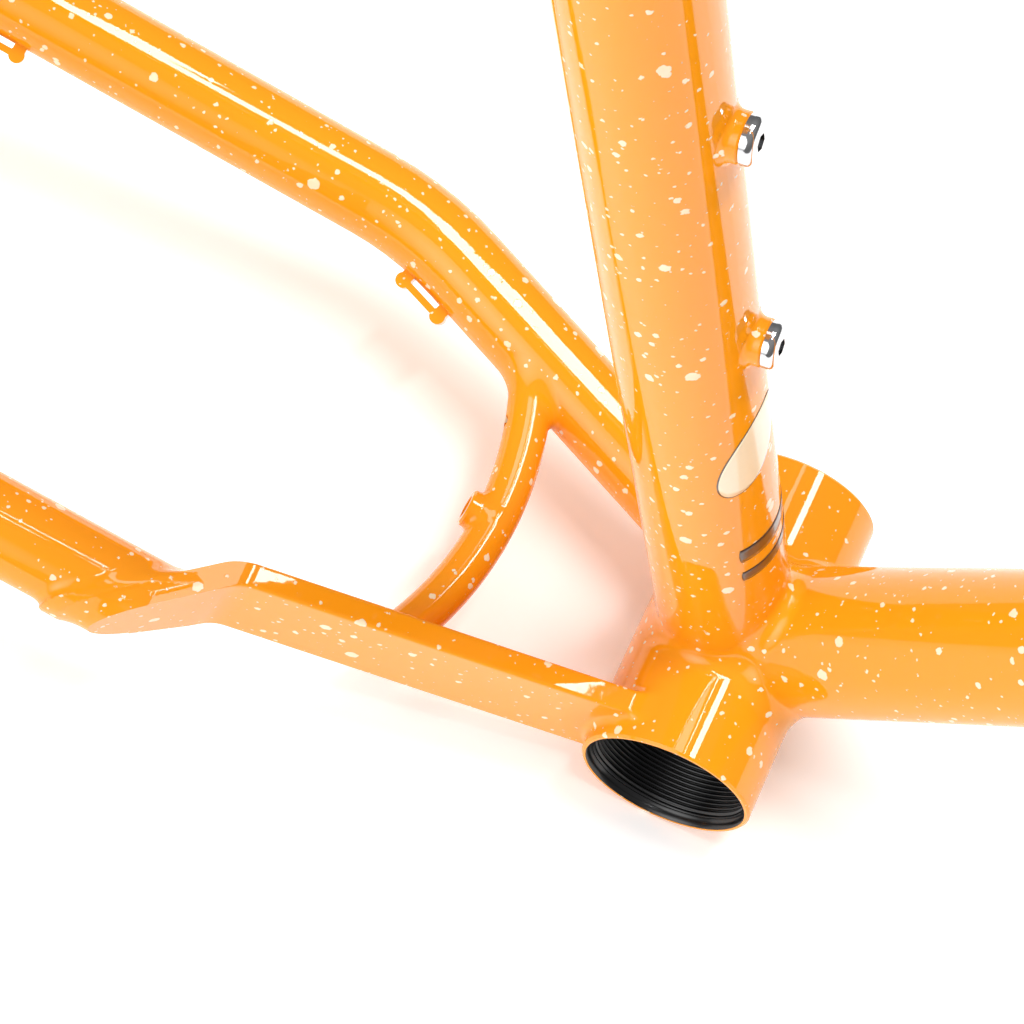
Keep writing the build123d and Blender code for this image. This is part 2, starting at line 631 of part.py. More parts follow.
def brake_tab():
    """Bars round a window: between the caliper's holes, and from each to the dropout."""
    near, far = [place * Circle(BRAKE_HOLE / 2 + BRAKE_TAB_WALL) for place in BRAKE_PLACES]
    seat_arm = polar(SEATSTAY_END_GAP, SEATSTAY_AIM) * Circle(DROPOUT_ARM / 2)
    eyelet = EYELET_PLACE * Circle(EYELET / 2 + EYELET_WALL)
    bars = [(near, far), (near, seat_arm), (far, eyelet), (near, Circle(DROPOUT_WEB_ROOT))]
    return [make_hull((start + end).edges()) for start, end in bars]


def dropout_plate(side):
    centre = Plane(origin=AXLE + OUT * side * DROPOUT_MID, x_dir=(1, 0, 0), z_dir=(0, -1, 0))
    plate = extrude(centre * dropout_outline(side), DROPOUT_THICK / 2, both=True)
    if side < 0:
        for place in HANGER_SCREW_PLACES:
            plate -= across(beside_axle(place, -DROPOUT_MID), HANGER_SCREW, 2 * DROPOUT_THICK)
    return plate


def derailleur_hanger():
    """Bolted to the outside of the drive-side dropout; the axle and the derailleur screw into it."""
    lobes = Circle(AXLE_DIAMETER / 2 + HANGER_EYE_WALL)
    lobes += HANGER_PLACE * Circle(HANGER_THREAD / 2 + HANGER_WALL)
    outline = make_hull(lobes.edges())
    for place in HANGER_SCREW_PLACES:
        ear = Circle(AXLE_DIAMETER / 2) + place * Circle(HANGER_SCREW_HEAD / 2 + HANGER_SCREW_WALL)
        outline += make_hull(ear.edges())
        outline -= place * Circle(HANGER_SCREW / 2)
    outline -= Circle(AXLE_DIAMETER / 2 + AXLE_CLEARANCE)
    outline -= HANGER_PLACE * Circle(HANGER_THREAD / 2)
    face = Plane(origin=AXLE - OUT * HANGER_FACE, x_dir=(1, 0, 0), z_dir=(0, -1, 0))
    hanger = extrude(face * outline, HANGER_THICK)
    sink = HANGER_FACE + HANGER_THICK - HANGER_SCREW_SINK / 2
    for place in HANGER_SCREW_PLACES:
        hanger -= across(beside_axle(place, -sink), HANGER_SCREW_HEAD, HANGER_SCREW_SINK)
    return hanger


def hanger_screws():
    screws = []
    for place in HANGER_SCREW_PLACES:
        outer = beside_axle(place, -HANGER_FACE - HANGER_THICK)
        neck = outer + OUT * HANGER_SCREW_SINK
        tip = beside_axle(place, HANGER_SCREW_GRIP - HANGER_FACE)
        screw = rod(outer, neck, HANGER_SCREW_HEAD) + rod(neck, tip, HANGER_SCREW)
        hexagon = RegularPolygon(HANGER_SCREW_SOCKET / 2, 6, major_radius=False)
        screws.append(screw - extrude(Plane(origin=outer, z_dir=OUT) * hexagon, HANGER_SCREW_SINK))
    return screws


WASHER_FACE = AXLE + OUT * HANGER_FACE
AXLE_SHOULDER = WASHER_FACE + OUT * WASHER_THICK


def axle_washer():
    bore = AXLE_DIAMETER + 2 * AXLE_CLEARANCE
    ring = pipe(WASHER_FACE, AXLE_SHOULDER, WASHER_OUTER, bore)
    rim = ring.edges().filter_by(GeomType.CIRCLE).sort_by(lambda edge: edge.center().Y + edge.length)
    return chamfer(rim[-1], BOSS_EDGE)


def thru_axle():
    tip = AXLE - OUT * (HANGER_FACE + HANGER_THICK + AXLE_TIP_PROUD)
    top = AXLE_SHOULDER + OUT * AXLE_HEAD_HEIGHT
    head = rod(AXLE_SHOULDER, top, AXLE_HEAD)
    head = fillet(head.edges().sort_by(lambda edge: (edge.center() - top).length)[0], BOLT_DOME)
    shaft = rod(tip, AXLE_SHOULDER, AXLE_DIAMETER)
    shaft = chamfer(shaft.edges().sort_by(lambda edge: (edge.center() - tip).length)[0], BOLT_DOME)
    hexagon = RegularPolygon(AXLE_SOCKET / 2, 6, major_radius=False)
    socket = extrude(Plane(origin=top, z_dir=-OUT) * hexagon, AXLE_SOCKET_DEPTH)
    return head + shaft - socket - rod(tip, AXLE_SHOULDER - OUT * AXLE_SOCKET_DEPTH, AXLE_BORE)


# ---------------------------------------------------------------- seat collar and quick release
COLLAR_INNER = SLEEVE_OUTER
COLLAR_OUTER = SLEEVE_OUTER + 2 * COLLAR_WALL
BOLT_LINE = COLLAR_MID - SEAT_FRONT * COLLAR_BOLT_BACK
EAR_FACE = COLLAR_OUTER / 2 - COLLAR_EAR_INSET
CAM_OUT = EAR_FACE + SADDLE_WEB + CAM_GAP + CAM_RADIUS
PIVOT = BOLT_LINE + OUT * (CAM_OUT + CAM_THROW)
CAM_CENTRE = BOLT_LINE + OUT * CAM_OUT
LEVER_HEIGHT = COLLAR_BOLT + 2 * CHEEK_GAP + 2 * CHEEK
COLLAR_FRAME = Plane(origin=COLLAR_MID, x_dir=SEAT_FRONT, z_dir=SEAT_DIR)


def upright(centre, diameter, height):
    """Cylinder parallel to the seat tube, centred on a point."""
    return rod(centre - SEAT_DIR * height / 2, centre + SEAT_DIR * height / 2, diameter)


def seat_collar():
    ear_length = COLLAR_BOLT_BACK - COLLAR_INNER / 2
    ears = Pos(-COLLAR_INNER / 2 - ear_length / 2, 0) * Rectangle(ear_length, 2 * EAR_FACE)
    nose = Pos(-COLLAR_BOLT_BACK, 0) * Rectangle(COLLAR_EAR_HEIGHT, 2 * EAR_FACE)
    nose = fillet(nose.vertices(), COLLAR_EAR_CORNER)
    plan = Circle(COLLAR_OUTER / 2) + ears + nose - Circle(COLLAR_INNER / 2)
    plan -= Pos(-COLLAR_OUTER, 0) * Rectangle(2 * COLLAR_OUTER, COLLAR_GAP)
    collar = extrude(COLLAR_FRAME * plan, COLLAR_HEIGHT / 2, both=True)
    return collar - across(BOLT_LINE, COLLAR_BOLT_HOLE, 4 * EAR_FACE)


def collar_rod():
    """Clamping rod: an eye for the lever's pin, and a threaded end in the nut."""
    end = BOLT_LINE - OUT * (EAR_FACE + NUT_LENGTH - NUT_CAP)
    shank = rod(end, PIVOT - OUT * (PIVOT_PIN / 2 + RUNNING), COLLAR_BOLT)
    eye = upright(PIVOT, ROD_EYE, ROD_EYE_HEIGHT)
    return shank + eye - upright(PIVOT, PIVOT_PIN + 2 * RUNNING, LEVER_HEIGHT)


def collar_nut():
    """Knurled thumb nut with a blind threaded hole."""
    face = BOLT_LINE - OUT * EAR_FACE
    top = face - OUT * NUT_LENGTH
    nut = rod(face, top, NUT_OUTER)
    nut = fillet(nut.edges().sort_by(lambda edge: (edge.center() - top).length)[0], NUT_EDGE)
    return nut - rod(face, top + OUT * NUT_CAP, COLLAR_BOLT + 2 * RUNNING)


def cam_saddle():
    """Bearing block between the collar's ear and the cam, hollowed to the cam's shape."""
    centre = BOLT_LINE + OUT * (EAR_FACE + (SADDLE_WEB + SADDLE_RISE) / 2)
    frame = Plane(origin=centre, x_dir=SEAT_FRONT, z_dir=SEAT_DIR)
    block = frame * Box(SADDLE_LENGTH, SADDLE_WEB + SADDLE_RISE, LEVER_HEIGHT)
    block -= upright(CAM_CENTRE, 2 * (CAM_RADIUS + CAM_GAP), 2 * LEVER_HEIGHT)
    return block - across(BOLT_LINE, COLLAR_BOLT_HOLE, 4 * CAM_OUT)


def collar_lever():
    """Two cam cheeks on the pin, and the handle that joins them ahead of the rod's eye."""
    cheeks = upright(CAM_CENTRE, 2 * CAM_RADIUS, LEVER_HEIGHT)
    outer = CAM_RADIUS - CAM_THROW
    frame = Plane(origin=PIVOT, x_dir=SEAT_FRONT, z_dir=SEAT_DIR)
    root = Pos(LEVER_LENGTH / 2, outer - LEVER_THICK / 2) * Rectangle(LEVER_LENGTH, LEVER_THICK)
    tip = Pos(LEVER_LENGTH, outer - LEVER_THICK / 2) * Circle(LEVER_THICK / 2)
    web = Pos(LEVER_WEB, outer / 2) * Rectangle(LEVER_WEB, outer)
    handle = extrude(frame * (root + tip + web), LEVER_HEIGHT / 2, both=True)
    gap = COLLAR_BOLT + 2 * CHEEK_GAP
    reach = 3 * CAM_RADIUS
    rod_room = frame * Pos(ROD_ROOM_AHEAD - reach / 2, 0, 0) * Box(reach, reach, gap)
    eye_room = upright(PIVOT, ROD_EYE + 4 * CHEEK_GAP, gap)
    return cheeks + handle - eye_room - rod_room - upright(PIVOT, PIVOT_PIN, 2 * LEVER_HEIGHT)


def lever_pin():
    return upright(PIVOT, PIVOT_PIN, LEVER_HEIGHT)


if __name__ == "__main__":
    os.makedirs("parts", exist_ok=True)
    yoke = yoke_plate()
    save("bottom_bracket_shell", bottom_bracket_shell())
    save("seat_tube", seat_tube())
    save("seat_sleeve", seat_sleeve())
    save("down_tube", down_tube())
    save("top_tube", top_tube())
    save("head_tube", head_tube())
    save("upper_head_ring", head_ring(HEAD_TOP, -HEAD_DIR))
    save("lower_head_ring", head_ring(HEAD_BOTTOM, HEAD_DIR))
    save("yoke_plate", yoke)
    save("left_chainstay", left_chainstay())
    save("right_chainstay", right_chainstay())
    save("chainstay_bridge", chainstay_bridge(yoke))
    save("chainstay_bridge_boss", chainstay_bridge_boss())
    save("chainstay_hose_guides", *chainstay_hose_guides())
    save("down_tube_hose_guides", *down_tube_hose_guides())
    save("left_seatstay", seatstay(1))
    save("right_seatstay", seatstay(-1))
    save("seatstay_bridge", seatstay_bridge())
    save("seatstay_bridge_boss", seatstay_bridge_boss())
    save("left_dropout", dropout_plate(1))
    save("right_dropout", dropout_plate(-1))
    save("derailleur_hanger", derailleur_hanger())
    save("hanger_screws", *hanger_screws())
    save("axle_washer", axle_washer())
    save("thru_axle", thru_axle())
    save("seat_tube_bosses", *[boss(p, SEAT_FRONT, SEAT_SOLID) for p in SEAT_BOSSES])
    save("down_tube_bosses", *[boss(p, DOWN_TOP_SIDE, DOWN_SOLID) for p in DOWN_BOSSES])
    save("bottle_bolts", *[bolt(p + SEAT_FRONT * BOSS_PROUD, SEAT_FRONT) for p in SEAT_BOSSES])
    save("seat_collar", seat_collar())
    save("collar_rod", collar_rod())
    save("collar_nut", collar_nut())
    save("cam_saddle", cam_saddle())
    save("collar_lever", collar_lever())
    save("lever_pin", lever_pin())
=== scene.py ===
"""Looks of a bare bicycle frame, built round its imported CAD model.

Metres in Blender, millimetres in the shape code. The origin is the centre of the bottom-bracket
shell, +X points forward, +Y to the rider's left and +Z up.
"""
import bpy
import json
import math
import numpy as np
from mathutils import Matrix, Vector


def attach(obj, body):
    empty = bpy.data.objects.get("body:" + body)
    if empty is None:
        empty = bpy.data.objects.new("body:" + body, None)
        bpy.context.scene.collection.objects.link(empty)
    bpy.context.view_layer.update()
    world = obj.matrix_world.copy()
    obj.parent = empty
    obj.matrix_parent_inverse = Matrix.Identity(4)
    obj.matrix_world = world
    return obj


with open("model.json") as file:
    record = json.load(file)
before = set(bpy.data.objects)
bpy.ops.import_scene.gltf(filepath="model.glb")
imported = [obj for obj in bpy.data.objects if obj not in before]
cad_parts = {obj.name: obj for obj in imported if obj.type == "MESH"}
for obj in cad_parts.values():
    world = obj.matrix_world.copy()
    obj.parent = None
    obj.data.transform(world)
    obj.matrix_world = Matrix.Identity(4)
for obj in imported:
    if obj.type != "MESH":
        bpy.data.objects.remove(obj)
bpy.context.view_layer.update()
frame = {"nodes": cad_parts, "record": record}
NODES = frame["nodes"]
MM = 0.001
FLOOR_Z = -0.0194


# ---------------------------------------------------------------- materials
class Graph:
    """Short names for building a node tree."""

    def __init__(self, tree):
        self.tree = tree

    def node(self, kind, **settings):
        made = self.tree.nodes.new(kind)
        for key, value in settings.items():
            setattr(made, key, value)
        return made

    def plug(self, value, socket):
        if isinstance(value, bpy.types.NodeSocket):
            self.tree.links.new(value, socket)
        else:
            socket.default_value = value

    def math(self, operation, *values):
        made = self.node("ShaderNodeMath", operation=operation)
        for k, value in enumerate(values):
            self.plug(value, made.inputs[k])
        return made.outputs[0]

    def vector(self, operation, *values):
        made = self.node("ShaderNodeVectorMath", operation=operation)
        for k, value in enumerate(values):
            self.plug(value, made.inputs["Scale" if operation == "SCALE" and k == 1 else k])
        return made.outputs[0]

    def step(self, value, low, high):
        """0 at low, 1 at high, smooth between."""
        made = self.node("ShaderNodeMapRange", interpolation_type="SMOOTHSTEP")
        for name, x in (("Value", value), ("From Min", low), ("From Max", high)):
            self.plug(x, made.inputs[name])
        return made.outputs["Result"]

    def mix(self, factor, a, b):
        made = self.node("ShaderNodeMix", data_type="RGBA")
        self.plug(factor, made.inputs["Factor"])
        self.plug(a, made.inputs[6])
        self.plug(b, made.inputs[7])
        return made.outputs[2]

    def noise(self, place, scale, detail=2.0, rough=0.5, output=0):
        made = self.node("ShaderNodeTexNoise")
        self.plug(place, made.inputs["Vector"])
        made.inputs["Scale"].default_value = scale
        made.inputs["Detail"].default_value = detail
        made.inputs["Roughness"].default_value = rough
        return made.outputs[output]

    def bump(self, height, distance):
        made = self.node("ShaderNodeBump")
        made.inputs["Distance"].default_value = distance
        made.inputs["Strength"].default_value = 1.0
        self.plug(height, made.inputs["Height"])
        return made.outputs[0]


def material(name, **constants):
    """A new material with a Principled shader: its graph, its place vector and the shader."""
    made = bpy.data.materials.new(name)
    made.use_nodes = True
    graph = Graph(made.node_tree)
    shader = made.node_tree.nodes["Principled BSDF"]
    for key, value in constants.items():
        shader.inputs[key.replace("_", " ")].default_value = value
    place = graph.node("ShaderNodeTexCoord").outputs["Object"]
    return made, graph, place, shader


def rgb(r, g, b):
    return (r, g, b, 1.0)


SPECKLE_BIAS = 1.6           # above 1, small speckles outnumber large ones


def speckle_layer(g, place, cell, radius, edge):
    """Spots of paint: one per cell of that size, of random radius up to the given one (mm)."""
    cells = g.node("ShaderNodeTexVoronoi", voronoi_dimensions="3D", feature="F1")
    g.plug(place, cells.inputs["Vector"])
    cells.inputs["Scale"].default_value = 1 / (cell * MM)
    split = g.node("ShaderNodeSeparateColor")
    g.plug(cells.outputs["Color"], split.inputs[0])
    size = g.math("MULTIPLY", g.math("POWER", split.outputs[0], SPECKLE_BIAS), radius / cell)
    inner = g.math("SUBTRACT", size, edge / cell)
    return g.math("SUBTRACT", 1.0, g.step(cells.outputs["Distance"], inner, size))


def frame_paint():
    """Orange gloss paint under clear coat, with thrown speckles of cream and a faint orange peel."""
    made, g, place, shader = material(
        "frame_paint", Roughness=0.4, Specular_IOR_Level=0.0, Coat_Weight=1.0, Coat_Roughness=0.02,
        Coat_IOR=1.45)
    wander = g.noise(place, 700.0, 2.0, 0.6, output=1)
    shift = g.vector("SCALE", g.vector("SUBTRACT", wander, (0.5, 0.5, 0.5)), 0.0011)
    loose = g.vector("ADD", place, shift)
    spots = [
        speckle_layer(g, loose, 6.4, 1.55, 0.12),
        speckle_layer(g, g.vector("ADD", loose, (0.31, 0.17, 0.05)), 3.2, 0.88, 0.10),
        speckle_layer(g, g.vector("ADD", loose, (0.11, 0.37, 0.25)), 1.7, 0.43, 0.08),
    ]
    spot = spots[0]
    for other in spots[1:]:
        spot = g.math("MAXIMUM", spot, other)
    tone = g.noise(place, 9.0, 3.0)
    paint = g.mix(tone, rgb(0.91, 0.31, 0.008), rgb(0.94, 0.34, 0.010))
    cream = g.mix(g.noise(place, 260.0), rgb(0.88, 0.70, 0.42), rgb(0.93, 0.84, 0.64))
    g.plug(g.mix(spot, paint, cream), shader.inputs["Base Color"])
    peel = g.noise(place, 330.0, 1.0)
    relief = g.math("ADD", g.math("MULTIPLY", spot, 0.6), g.math("MULTIPLY", peel, 0.10))
    normal = g.bump(relief, 0.00006)
    g.plug(normal, shader.inputs["Coat Normal"])
    g.plug(normal, shader.inputs["Normal"])
    return made


def simple(name, colour, rough, metal, scale=400.0, spread=0.12, bump=0.00002, **more):
    """One colour with a fine grain in its shade, roughness and relief."""
    made, g, place, shader = material(name, Metallic=metal, **more)
    grain = g.noise(place, scale, 3.0)
    dark = tuple(c * (1 - spread) for c in colour)
    g.plug(g.mix(grain, rgb(*dark), rgb(*colour)), shader.inputs["Base Color"])
    g.plug(g.math("ADD", g.math("MULTIPLY", g.noise(place, scale / 9), 0.12), rough - 0.06),
           shader.inputs["Roughness"])
    g.plug(g.bump(grain, bump), shader.inputs["Normal"])
    return made


MATERIALS = {
    "frame_paint": frame_paint(),
    "polished_bolt": simple("polished_bolt", (0.72, 0.72, 0.73), 0.10, 1.0),
    "screw_steel": simple("screw_steel", (0.55, 0.55, 0.57), 0.28, 1.0),
    "anodised_black": simple("anodised_black", (0.025, 0.025, 0.028), 0.38, 0.6),
    "anodised_silver": simple("anodised_silver", (0.60, 0.60, 0.62), 0.30, 1.0),
    "bearing_brass": simple("bearing_brass", (0.70, 0.50, 0.22), 0.32, 1.0),
}
for row in frame["record"]["subparts"]:
    node = NODES[row["node"]]
    node.data.materials.clear()
    node.data.materials.append(MATERIALS[row["material_slot"]])

# ---------------------------------------------------------------- the CAD model's sizes, mm
SEAT_ANGLE, HEAD_ANGLE = 72.5, 69.5
REACH, STACK, HEAD_LENGTH = 415.0, 600.0, 140.0
SEAT_TUBE_LENGTH = 500.0
TOP_TUBE_ON_SEAT, SEATSTAY_ON_SEAT = 458.0, 438.0      # stations up the seat tube
DOWN_TUBE_ABOVE_END, TOP_TUBE_BELOW_HEAD = 43.7572, 30.0
CHAINSTAY_LENGTH, AXLE_RISE = 440.0, 65.0
SHELL_WIDTH, SHELL_RADIUS, THREAD_RADIUS, MOUTH_RADIUS, MOUTH_DEPTH = 73.0, 19.05, 17.4, 18.0, 2.4
SEAT_RADIUS, DOWN_RADIUS, TOP_RADIUS, HEAD_RADIUS = 14.3, 15.9, 14.3, 18.5
STAY_RADIUS, SEATSTAY_RADIUS, BRIDGE_RADIUS, SEAT_BRIDGE_RADIUS = 9.7, 7.95, 4.75, 6.35
BOTTLE_BOSS_RADIUS, FENDER_BOSS_RADIUS = 4.7, 4.15
SEAT_BOSS_STATIONS, DOWN_BOSS_STATIONS = (127.2, 191.2), (205.0, 269.0)
SEATSTAY_ROOT_OUT, SEATSTAY_BEND_OUT, SEATSTAY_BEND, SEAT_BRIDGE_DOWN = 11.0, 44.0, 75, 82


def unit(vector):
    return np.asarray(vector, float) / np.linalg.norm(vector)


def rising(angle):
    """Direction in the middle plane, back and up, that many degrees above horizontal."""
    return np.array([-math.cos(math.radians(angle)), 0, math.sin(math.radians(angle))])


ORIGIN = np.zeros(3)
OUT = np.array([0.0, 1.0, 0.0])
SEAT_DIR = rising(SEAT_ANGLE)
SEAT_FRONT = np.array([SEAT_DIR[2], 0, -SEAT_DIR[0]])
HEAD_DIR = rising(HEAD_ANGLE)
SEAT_TOP = SEAT_DIR * SEAT_TUBE_LENGTH
HEAD_TOP = np.array([REACH, 0, STACK])
HEAD_BOTTOM = HEAD_TOP - HEAD_DIR * HEAD_LENGTH
DOWN_ON_HEAD = HEAD_BOTTOM + HEAD_DIR * DOWN_TUBE_ABOVE_END
DOWN_DIR = unit(DOWN_ON_HEAD)
DOWN_TOP_SIDE = np.array([-DOWN_DIR[2], 0, DOWN_DIR[0]])
TOP_ON_HEAD = HEAD_TOP - HEAD_DIR * TOP_TUBE_BELOW_HEAD
TOP_ON_SEAT = SEAT_DIR * TOP_TUBE_ON_SEAT
AXLE = np.array([-math.sqrt(CHAINSTAY_LENGTH**2 - AXLE_RISE**2), 0, AXLE_RISE])
STAY_DIR = unit(AXLE)
STAY_UP = np.array([STAY_DIR[2], 0, -STAY_DIR[0]])
SEATSTAY_ROOT = SEAT_DIR * SEATSTAY_ON_SEAT
SEATSTAY_DIR = unit(AXLE - SEATSTAY_ROOT)
DROPOUT_MID = 77.5
LEFT_START, LEFT_SLOPE, LEFT_WIDE, RIGHT_WIDE = 13.8, 0.383, 51.7, 56.5
LEFT_BEND = (LEFT_WIDE - LEFT_START) / LEFT_SLOPE
STAY_END = CHAINSTAY_LENGTH - 26.0
YOKE_THICK, YOKE_HEIGHT, YOKE_START, YOKE_SLOPE, YOKE_BEND = 5.4, 27.0, 26.0, 0.193, 100.0
YOKE_TIP_SLOPE, YOKE_EDGE, YOKE_SHOULDER, YOKE_LIP = 0.84, 0.8, 27.0, 0.6
YOKE_CORNER_OUT = YOKE_START + YOKE_SLOPE * YOKE_BEND
YOKE_CAP = YOKE_BEND + (RIGHT_WIDE - YOKE_CORNER_OUT) / YOKE_TIP_SLOPE


def stay_point(back, out):
    return STAY_DIR * back + OUT * out


def seatstay_point(down, out):
    return SEATSTAY_ROOT + SEATSTAY_DIR * down + OUT * out


# ---------------------------------------------------------------- distance fields, mm
def cylinder(start, end, radius):
    start, end = np.asarray(start, float), np.asarray(end, float)
    length = np.linalg.norm(end - start)
    axis = (end - start) / length

    def field(p):
        q = p - start
        along = q @ axis
        side = np.sqrt(np.maximum((q * q).sum(-1) - along**2, 0)) - radius
        cap = np.maximum(-along, along - length)
        outside = np.hypot(np.maximum(side, 0), np.maximum(cap, 0))
        return np.where(outside > 0, outside, np.maximum(side, cap))

    return field


def path_distance(points, radii):
    """Distance to straight runs joined by arcs."""
    points = [np.asarray(p, float) for p in points]
    runs, arcs, start = [], [], points[0]
    for corner, after, radius in zip(points[1:], points[2:], radii):
        come, go = unit(corner - start), unit(after - corner)
        half = math.acos(np.clip(come @ go, -1, 1)) / 2
        reach = radius * math.tan(half)
        inward = unit(go - come)
        centre = corner + inward * (radius / math.cos(half))
        runs.append((start, corner - come * reach))
        arcs.append((centre, -inward, unit(come + go), radius, half))
        start = corner + go * reach
    runs.append((start, points[-1]))

    def field(p):
        best = np.full(len(p), 1e9)
        for a, b in runs:
            ab = b - a
            t = np.clip((p - a) @ ab / (ab @ ab), 0, 1)
            best = np.minimum(best, np.linalg.norm(p - a - t[:, None] * ab, axis=1))
        for centre, middle, along, radius, half in arcs:
            q = p - centre
            x, y = q @ middle, q @ along
            normal = np.cross(middle, along)
            gap = np.hypot(np.hypot(x, y) - radius, q @ normal)
            best = np.where(np.abs(np.arctan2(y, x)) <= half, np.minimum(best, gap), best)
        return best

    return field


def bent_tube(points, radii, radius):
    middle = path_distance(points, radii)
    return lambda p: middle(p) - radius


def both(*fields):
    return lambda p: np.maximum.reduce([f(p) for f in fields])


def half_space(point, outward):
    return lambda p: (p - point) @ outward


def yoke_field():
    tip = stay_point(YOKE_BEND, -YOKE_CORNER_OUT) + unit(STAY_DIR - OUT * YOKE_TIP_SLOPE) * 40
    middle = path_distance(
        [stay_point(0, -YOKE_START), stay_point(YOKE_BEND, -YOKE_CORNER_OUT), tip], [13.0])
    fall = (YOKE_HEIGHT / 2 - STAY_RADIUS - YOKE_LIP) / (YOKE_CAP - YOKE_BEND)
    turn = YOKE_SHOULDER * math.tan(math.atan(fall) / 2)
    cap = cylinder(stay_point(YOKE_CAP, -RIGHT_WIDE), stay_point(YOKE_CAP + 40, -RIGHT_WIDE),
                   STAY_RADIUS + YOKE_LIP)
    behind = half_space(stay_point(YOKE_CAP, 0), STAY_DIR)

    def field(p):
        up = p @ STAY_UP
        back = p @ STAY_DIR
        past = np.clip(back - YOKE_BEND + turn, 0, 2 * turn)
        half = YOKE_HEIGHT / 2 - YOKE_SHOULDER + np.sqrt(YOKE_SHOULDER**2 - past**2)
        half = half - fall * np.maximum(back - YOKE_BEND - turn, 0)
        flat = p - up[:, None] * STAY_UP
        q = np.stack([middle(flat) - YOKE_THICK / 2, np.abs(up) - half], 1) + YOKE_EDGE
        plate = np.linalg.norm(np.maximum(q, 0), axis=1) + np.minimum(q.max(1), 0) - YOKE_EDGE
        return np.maximum(plate, np.minimum(behind(p), cap(p)))

    return field


def arm(side, aim, length, width):
    """One arm of a dropout: a plate that tapers from the axle's eye to a round end."""
    eye, end, half_thick = 13.5, width / 2, 3.5
    reach = length - end
    lean = (eye - end) / reach
    level = math.sqrt(1 - lean**2)
    middle = AXLE + OUT * side * DROPOUT_MID
    normal = np.cross(aim, OUT)

    def field(p):
        q = p - middle
        x, y = q @ aim, np.abs(q @ normal)
        along = x * level - y * lean
        shape = np.where(along < 0, np.hypot(x, y) - eye, x * lean + y * level - eye)
        shape = np.where(along > reach * level, np.hypot(x - reach, y) - end, shape)
        thick = np.abs(q @ OUT) - half_thick
        outside = np.hypot(np.maximum(shape, 0), np.maximum(thick, 0))
        return np.where(outside > 0, outside, np.maximum(shape, thick))

    return field


SHELL = cylinder(-OUT * SHELL_WIDTH / 2, OUT * SHELL_WIDTH / 2, SHELL_RADIUS)
SEAT = cylinder(ORIGIN, SEAT_TOP, SEAT_RADIUS)
DOWN = cylinder(ORIGIN, DOWN_ON_HEAD, DOWN_RADIUS)
TOP = cylinder(TOP_ON_SEAT, TOP_ON_HEAD, TOP_RADIUS)
HEAD = cylinder(HEAD_BOTTOM, HEAD_TOP, HEAD_RADIUS)
LEFT_STAY = bent_tube(
    [stay_point(0, LEFT_START), stay_point(LEFT_BEND, LEFT_WIDE), stay_point(290, LEFT_WIDE),
     stay_point(STAY_END, DROPOUT_MID)], [70.0, 180.0], STAY_RADIUS)
YOKE = yoke_field()
TIP_NORMAL = unit(STAY_DIR * YOKE_TIP_SLOPE + OUT)
RIGHT_STAY = both(
    bent_tube([stay_point(YOKE_BEND, -RIGHT_WIDE), stay_point(290, -RIGHT_WIDE),
               stay_point(STAY_END, -DROPOUT_MID)], [180.0], STAY_RADIUS),
    half_space(stay_point(YOKE_BEND, -YOKE_CORNER_OUT) + TIP_NORMAL * (YOKE_THICK / 2), -TIP_NORMAL))
BRIDGE_ARC, BRIDGE_OFFSET, BRIDGE_BACK, BRIDGE_ENDS_BACK = 82.0, -0.8, 56.6, 61.45
BRIDGE_CENTRE = stay_point(BRIDGE_BACK + BRIDGE_ARC, BRIDGE_OFFSET)


def bridge_point(out):
    side = out - BRIDGE_OFFSET
    return BRIDGE_CENTRE - STAY_DIR * math.sqrt(BRIDGE_ARC**2 - side**2) + OUT * side


def bridge_field(p):
    """The arc between the stays: its front half, cut off where it enters each of them."""
    q = p - BRIDGE_CENTRE
    flat = np.hypot(q @ STAY_DIR, q[:, 1])
    tube = np.hypot(flat - BRIDGE_ARC, q @ STAY_UP) - BRIDGE_RADIUS
    past = np.maximum(p[:, 1] - BRIDGE_LEFT[1], BRIDGE_RIGHT[1] - p[:, 1])
    return np.maximum(np.maximum(tube, past), q @ STAY_DIR)


BRIDGE_LEFT = bridge_point(LEFT_START + LEFT_SLOPE * BRIDGE_ENDS_BACK)
BRIDGE_RIGHT = bridge_point(-YOKE_START - YOKE_SLOPE * BRIDGE_ENDS_BACK)
BRIDGE_BOSS_FOOT = bridge_point(-2.6)
SEATSTAY_END = np.linalg.norm(AXLE - SEATSTAY_ROOT) - 30.0


def seatstay(side):
    return bent_tube([seatstay_point(0, side * SEATSTAY_ROOT_OUT),
                      seatstay_point(SEATSTAY_BEND, side * SEATSTAY_BEND_OUT),
                      seatstay_point(SEATSTAY_END, side * DROPOUT_MID)], [90.0], SEATSTAY_RADIUS)


SEAT_BRIDGE = seatstay_point(SEAT_BRIDGE_DOWN, 0)


# ---------------------------------------------------------------- weld beads from the fields
def blend_all(parts):
    """The rounded union of (field, fillet radius) in order; the first radius isn't used."""

    def field(p):
        total = parts[0][0](p)
        for other, radius in parts[1:]:
            b = other(p)
            near = np.hypot(np.maximum(radius - total, 0), np.maximum(radius - b, 0))
            total = np.maximum(radius, np.minimum(total, b)) - near
        return total

    return field


def slope_of(field, p, step=0.02):
    shifts = np.eye(3) * step
    return np.stack([(field(p + s) - field(p - s)) / (2 * step) for s in shifts], 1)


